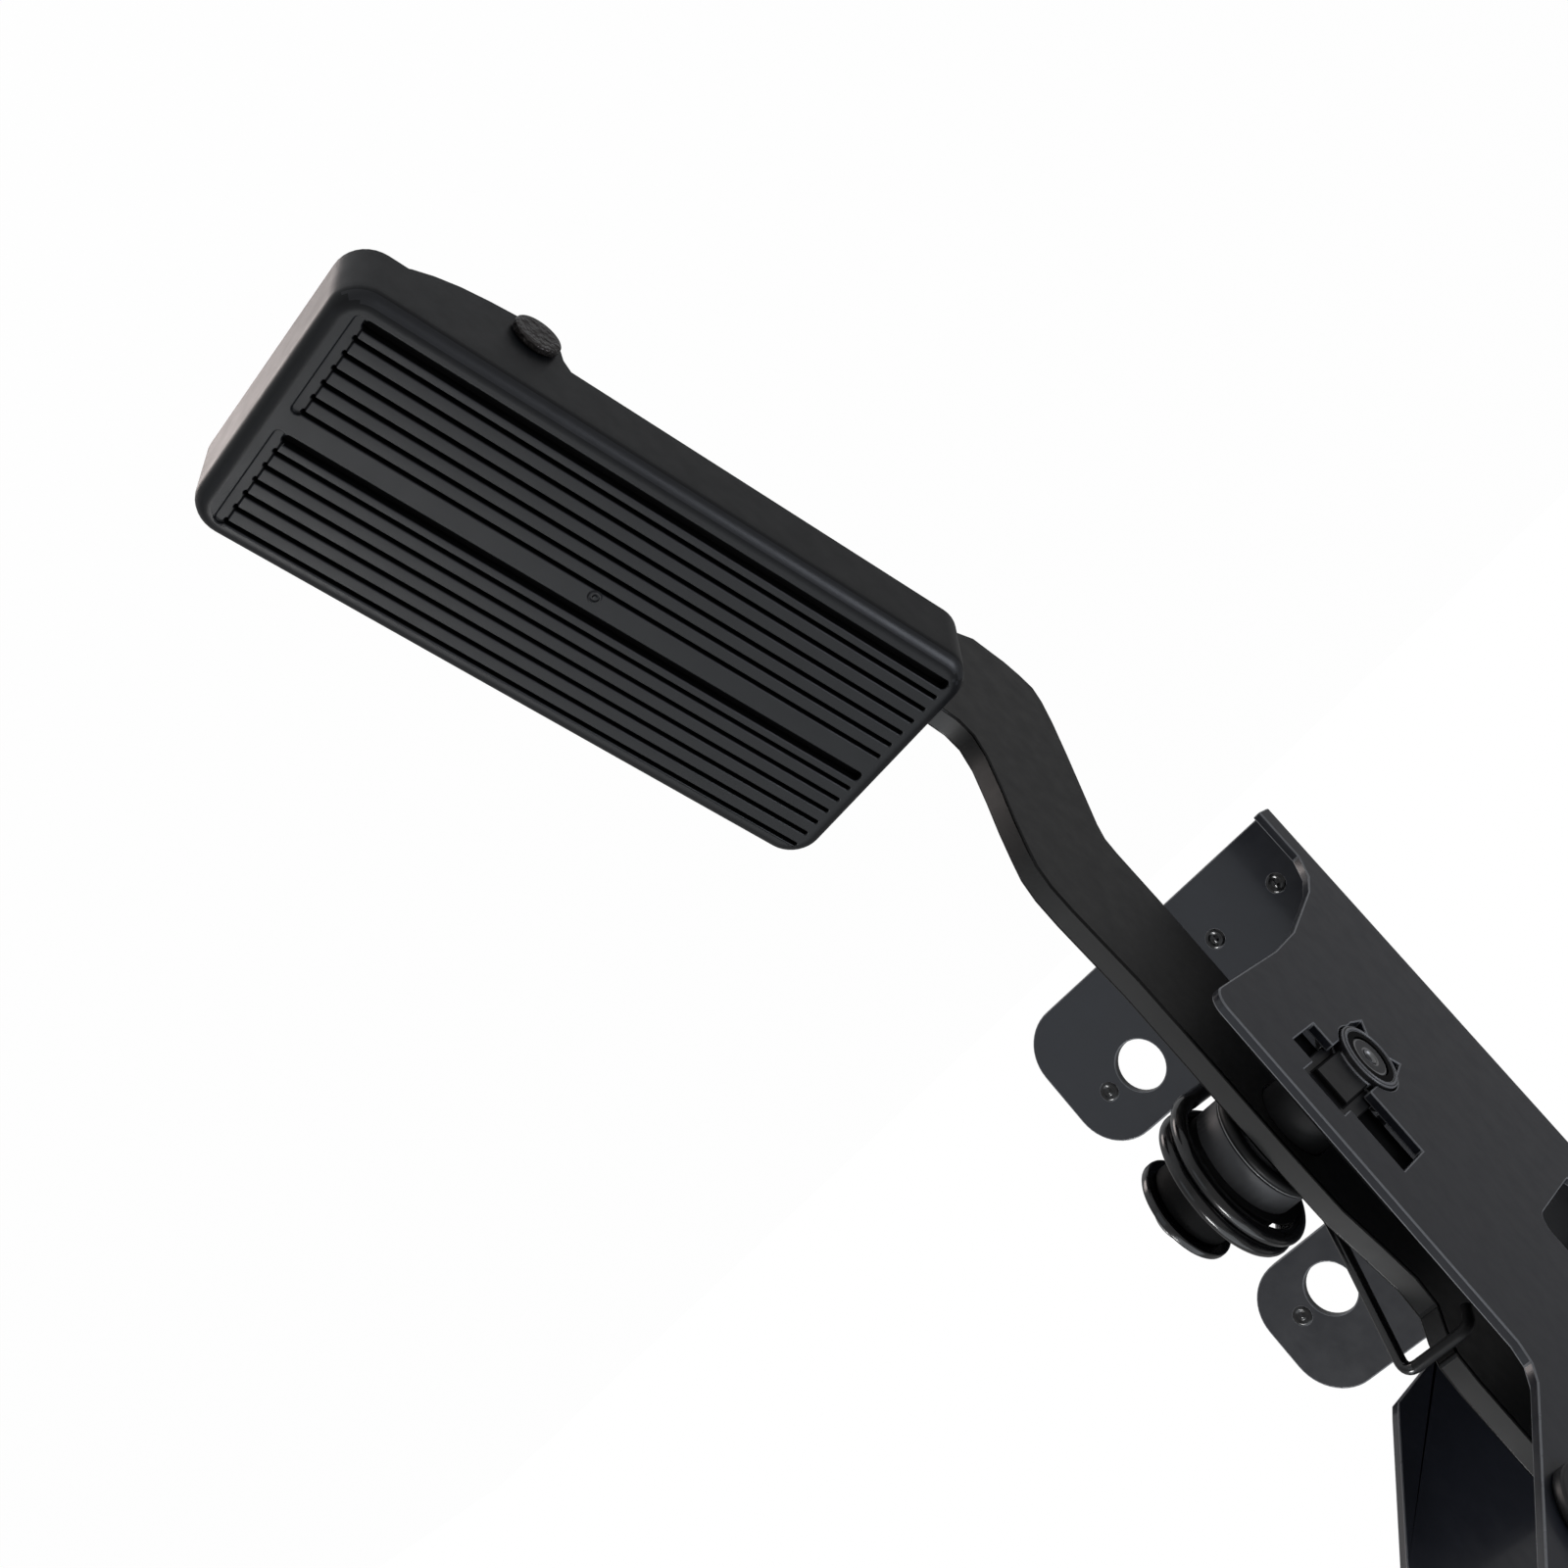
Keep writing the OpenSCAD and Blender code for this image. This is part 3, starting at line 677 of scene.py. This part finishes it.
def make_pad(look):
    """The moulded pad: a shell with round edges, grooves, and a boss round its hinge pin."""
    pad = pad_shell()
    boolean(pad, groove_bars(), "DIFFERENCE")
    boolean(pad, end_steps(), "DIFFERENCE")
    boolean(pad, boss_plates(), "UNION")
    round_edges(pad, GROOVE_EDGE, PAD_ROUND_ANGLE)
    join(pad, face_dot())
    even_normals(pad, PAD_SMOOTH_ANGLE)
    pad.name = "pad_moulding"
    paint(pad, look["pad"])
    # The insides of the grooves get painted shade
    repaint(pad, look["groove"], in_groove)
    # Rounded edges turned toward -x and the front get the painted highlight
    repaint(pad, look["painted_highlight_edge"], painted_highlight_edge)
    pad.data.transform(pad_matrix())
    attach(pad, "foot_pad")
    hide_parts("pad")


def make_plates(look):
    """The folded bracket and the arm."""
    # The bracket's rounded edges get a painted highlight, the arm's painted shade
    dressed("bracket", "mount_frame", look["bracket"], rounding=0.3,
            edge=look["bracket_painted_highlight"], merge=BRACKET_MERGE)
    dressed("arm", "lever", look["arm"], rounding=0.5, edge=look["arm_painted_shade"])


def beyond_bush_ring(face):
    """Whether a face lies outside the bush's round part, where it gets painted shade."""
    return math.hypot(face.center.y / MM - PIVOT_Y, face.center.z / MM - PIVOT_Z) > BUSH_ROUND_R


def beyond_dark_spool(face):
    """Whether a face lies on the spool's end past the coil, which gets painted shade."""
    return face.center.x > DARK_SPOOL_X * MM


def make_pivot(look):
    """The bush in the wall, the shaft with its washer and clip, the hub with its sleeves, and the spool."""
    # The bush's rounded edges get a painted highlight
    bush = dressed("wall_bush", "mount_frame", look["plastic"], rounding=0.3,
                   edge=look["plastic_painted_highlight"])
    # The bush outside its round part gets painted shade
    repaint(bush, look["groove"], beyond_bush_ring)
    # The shaft's rounded edges get a painted highlight
    dressed("pivot_shaft", "mount_frame", look["shaft"], rounding=0.6, edge=look["shaft_painted_highlight"])
    dressed("shaft_washer", "mount_frame", look["wire"], rounding=0.6)
    dressed("shaft_clip", "mount_frame", look["steel"], rounding=0.15)
    dressed("hub_tube", "lever", look["dull"], rounding=0.3)
    dressed("near_sleeve", "lever", look["sleeve"], rounding=0.2)
    dressed("far_sleeve", "lever", look["sleeve"], rounding=0.2)
    spool = dressed("spool", "lever", look["spool"], rounding=0.3)
    split_at_x(spool, DARK_SPOOL_X)
    # The spool's end past the coil gets painted shade, the rest keeps the spool's grey
    repaint(spool, look["groove"], beyond_dark_spool)


def on_pivot(x, radius, angle):
    """A point round the pivot."""
    return Vector((x, PIVOT_Y + radius * math.cos(angle), PIVOT_Z + radius * math.sin(angle)))


def pivot_ring(x, radius, steps):
    """A closed path round the pivot."""
    return [on_pivot(x, radius, 2 * math.pi * k / steps) for k in range(steps + 1)]


def pivot_sector(name, radius, x0, x1, start, end):
    """A flat sector about the pivot, between two places along it. The angles are in degrees."""
    plan = [(0.0, 0.0)]
    for angle in range(start, end + 1, SECTOR_STEP):
        a = math.radians(angle)
        plan.append((radius * math.cos(a), radius * math.sin(a)))
    bm = bmesh.new()
    near = [(x0, PIVOT_Y + y, PIVOT_Z + z) for y, z in plan]
    far = [(x1, PIVOT_Y + y, PIVOT_Z + z) for y, z in plan]
    slab(bm, near, far)
    return new_object(name, bm)


def spool_details(look):
    """The fine lip at the drum's end, light grey as a painted highlight, and the dark lobe and web beside
    the coil.
    """
    lip = tube("spool_lip", pivot_ring(LIP_X, LIP_R, LIP_STEPS), LIP_WIRE, LIP_SIDES)
    lobe = pivot_sector("spool_lobe", LOBE_R, LOBE_X0, LOBE_X1, LOBE_START, LOBE_END)
    web = pivot_sector("spool_web", WEB_R, WEB_X0, WEB_X1, WEB_START, WEB_END)
    for piece, finish in ((lip, "lip"), (lobe, "dull"), (web, "dull")):
        paint(piece, look[finish])
        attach(piece, "lever")


def bush_painted_shade(x):
    """A flat dark ring round the shaft's end, painted shade for the shadowed gap round the shaft."""
    bm = bmesh.new()
    loops = []
    for r in (SHADE_DISC_R0, SHADE_DISC_R1):
        loops.append([bm.verts.new(on_pivot(x, r, a) * MM) for a in full_turn(SHAFT_END_STEPS)])
    skin(bm, loops[0], loops[1])
    return new_object("bush_painted_shade", bm)


def bush_shade_plate():
    """A dark plate behind the keyed opening, painted shade for the bracket's shadowed inside."""
    low, high = KEY_SHADE_PLATE
    bm = bmesh.new()
    bmesh.ops.create_cube(bm, size=1.0)
    for v in bm.verts:
        v.co = Vector([(a + b) / 2 + (b - a) * c for a, b, c in zip(low, high, v.co)]) * MM
    return new_object("bush_shade_plate", bm)


def bush_details(look):
    """The dark ring and plate of painted shade, and the fine ring of the bush."""
    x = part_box("wall_bush")[0][0] / MM
    # A dark ring of painted shade round the shaft's end
    shade_disc = bush_painted_shade(x - SHADE_DISC_PROUD)
    # A dark plate of painted shade behind the keyed opening
    back = bush_shade_plate()
    # The fine ring is light grey: a painted highlight
    ring = tube("bush_ring", pivot_ring(x, RING_R, SHAFT_END_STEPS), RING_WIRE, RING_SIDES)
    for piece, finish in ((shade_disc, "groove"), (back, "groove"), (ring, "plastic_painted_highlight")):
        paint(piece, look[finish])
        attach(piece, "mount_frame")


def make_small_parts(look):
    """The pad's pin and clip, the stop, the two rings and the pad's own spring."""
    dressed("pad_pin", "foot_pad", look["pin"], rounding=0.45)
    dressed("pad_pin_clip", "foot_pad", look["steel"], rounding=0.2)
    dressed("stop_post", "mount_frame", look["steel"], rounding=0.2)
    dressed("rest_stop", "mount_frame", look["rubber"], rounding=0.5)
    dressed("wall_grommet", "mount_frame", look["plastic"], rounding=0.6)
    dressed("cable_grommet", "lever", look["plastic"], rounding=0.3)
    paint(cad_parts["pad_spring"], look["wire"])


def leg_to_plate(x, z):
    """Points of a straight leg from the base plate to the pivot's depth."""
    points = [Vector((x, LEG_START - LEG_STEP * k, z)) for k in range(LEG_POINTS)]
    return [p for p in points if p.y > PIVOT_Y + LEG_STOP]


def small_spring():
    """One turn beside the arm, a leg to the base plate and the hooked leg over the arm's front edge."""
    start, end = math.pi / 2, 2 * math.pi + HOOK_ANGLE
    coil = []
    for k in range(SMALL_STEPS + 1):
        t = k / SMALL_STEPS
        shift = max(0.0, (t - SHIFT_START) / SHIFT_SPAN)
        shift = shift * shift * (3 - 2 * shift)
        x = SMALL_X + (SMALL_LEAD_X - SMALL_X) * shift
        coil.append(on_pivot(x, SMALL_R, start + (end - start) * t))
    leg = leg_to_plate(SMALL_X, PIVOT_Z + SMALL_R)
    corner, bend = Vector((HOOK_X1, HOOK_Y, HOOK_Z)), Vector((HOOK_X0, HOOK_Y, HOOK_Z))
    hook = rounded_path([coil[-1], corner, bend, bend + HOOK_TIP], HOOK_ROUND)
    return tube("small_spring", leg + coil + hook[1:], SMALL_WIRE)


def large_spring():
    """The coil round the spool, with a leg to the base plate and an end bent into the spool."""
    coil = []
    for k in range(LARGE_STEPS + 1):
        turn = LARGE_TURNS * k / LARGE_STEPS
        flare = LEG_FLARE * max(0.0, 1 - turn / FLARE_TURN) ** 2
        drawn = DRAWN_IN * max(0.0, 1 - (abs(turn - DRAWN_TURN) / DRAWN_SPAN) ** 2) ** 2
        radius = LARGE_R + flare - drawn
        coil.append(on_pivot(LARGE_X + turn * LARGE_PITCH, radius, -math.pi / 2 - turn * 2 * math.pi))
    leg = leg_to_plate(LARGE_X, PIVOT_Z - LARGE_R - LEG_FLARE)
    end = coil[-1]
    inward = [Vector((end.x, end.y - INWARD_STEP * k, end.z)) for k in range(1, INWARD_POINTS + 1)]
    return tube("large_spring", leg + coil + inward, LARGE_WIRE, LARGE_SIDES)


def toward_arm(face):
    """Whether a face of the small spring lies in its part toward the arm, which gets a duller, darker wire
    as painted shade.
    """
    return face.center.x < SMALL_SHADE_X * MM


def make_springs(look):
    """Both return springs."""
    small, large = small_spring(), large_spring()
    for spring, node in ((small, "inner_spring"), (large, "outer_spring")):
        paint(spring, look["wire"])
        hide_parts(node)
    # The part toward the arm gets painted shade
    repaint(small, look["wire_painted_shade"], toward_arm)
    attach(large, "mount_frame")
    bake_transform(small)


def make_dimples(material):
    """The small pressed rings in the base plate."""
    for k, (x, z) in enumerate(DIMPLES_AT):
        ring = lathe("dimple_%d" % k, DIMPLE_PROFILE)
        ring.matrix_world = facing_driver(x, PLATE_FACE_Y, z)
        paint(ring, material)
        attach(ring, "mount_frame")


def make_camera():
    """The photograph's camera, without shift or blur."""
    data = bpy.data.cameras.new("photo_camera")
    data.sensor_width = SENSOR_MM
    data.sensor_fit = "HORIZONTAL"
    data.lens = FOCAL_PX / FRAME_PX * SENSOR_MM
    data.clip_start = CLIP_START
    data.clip_end = CLIP_END
    camera = link(bpy.data.objects.new("photo_camera", data))
    right = CAMERA_RIGHT.normalized()
    up = -CAMERA_DOWN
    up = (up - right * up.dot(right)).normalized()
    back = right.cross(up)
    camera.matrix_world = Matrix.Translation(CAMERA_AT) @ Matrix((right, up, back)).transposed().to_4x4()
    bpy.context.scene.camera = camera


def make_lights():
    """The studio's lamps."""
    for name, place, target, side, watts, colour in LAMPS:
        data = bpy.data.lights.new(name, "AREA")
        data.shape = "RECTANGLE"
        data.size = side
        data.size_y = side
        data.energy = watts
        data.color = colour
        lamp = link(bpy.data.objects.new(name, data))
        lamp.location = place
        lamp.rotation_euler = (Vector(target) - Vector(place)).to_track_quat("-Z", "Y").to_euler()


def make_world():
    """White to the camera. Soft grey light with a brighter front for everything else."""
    world = bpy.data.worlds.new("studio")
    bpy.context.scene.world = world
    world.use_nodes = True
    tree = world.node_tree
    tree.nodes.clear()
    out = tree.nodes.new("ShaderNodeOutputWorld")
    white = tree.nodes.new("ShaderNodeBackground")
    white.inputs["Color"].default_value = WHITE
    white.inputs["Strength"].default_value = 1.0
    soft = tree.nodes.new("ShaderNodeBackground")
    soft.inputs["Strength"].default_value = 1.0
    coords = tree.nodes.new("ShaderNodeTexCoord")
    split = tree.nodes.new("ShaderNodeSeparateXYZ")
    tree.links.new(coords.outputs["Generated"], split.inputs["Vector"])
    grey = map_range(tree, split.outputs["Y"], BACK_Y, FRONT_Y, GREY_BACK, GREY_FRONT)
    tree.links.new(grey, soft.inputs["Color"])
    path = tree.nodes.new("ShaderNodeLightPath")
    seen = path.outputs["Is Camera Ray"]
    show_mix(tree, out, seen, soft.outputs["Background"], white.outputs["Background"])


def floor_material():
    """Pale, and almost plain white to the camera, so that the floor keeps only a faint shadow."""
    material = bpy.data.materials.new("pale_floor")
    tree, shader, _ = nodes_of(material)
    shader.inputs["Base Color"].default_value = FLOOR_COLOUR
    shader.inputs["Roughness"].default_value = FLOOR_ROUGH
    out = next(n for n in tree.nodes if n.type == "OUTPUT_MATERIAL")
    glow = tree.nodes.new("ShaderNodeEmission")
    glow.inputs["Color"].default_value = WHITE
    glow.inputs["Strength"].default_value = 1.0
    path = tree.nodes.new("ShaderNodeLightPath")
    share = tree.nodes.new("ShaderNodeMath")
    share.operation = "MULTIPLY"
    share.inputs[1].default_value = FLOOR_GLOW
    tree.links.new(path.outputs["Is Camera Ray"], share.inputs[0])
    show_mix(tree, out, share.outputs["Value"], shader.outputs["BSDF"], glow.outputs["Emission"])
    return material


def make_floor():
    """A pale floor well under the hanging pedal."""
    bm = bmesh.new()
    bmesh.ops.create_grid(bm, x_segments=1, y_segments=1, size=FLOOR_SIZE)
    floor = new_object("floor", bm)
    floor.location = (0, 0, FLOOR_Z)
    paint(floor, floor_material())


def main():
    """The studio first, then the pedal's pieces."""
    look = make_finishes()
    make_camera()
    make_world()
    make_floor()
    make_lights()
    make_pad(look)
    make_plates(look)
    make_pivot(look)
    spool_details(look)
    bush_details(look)
    make_small_parts(look)
    make_springs(look)
    make_dimples(look["wire"])


main()
bpy.context.scene.view_settings.view_transform = "Standard"
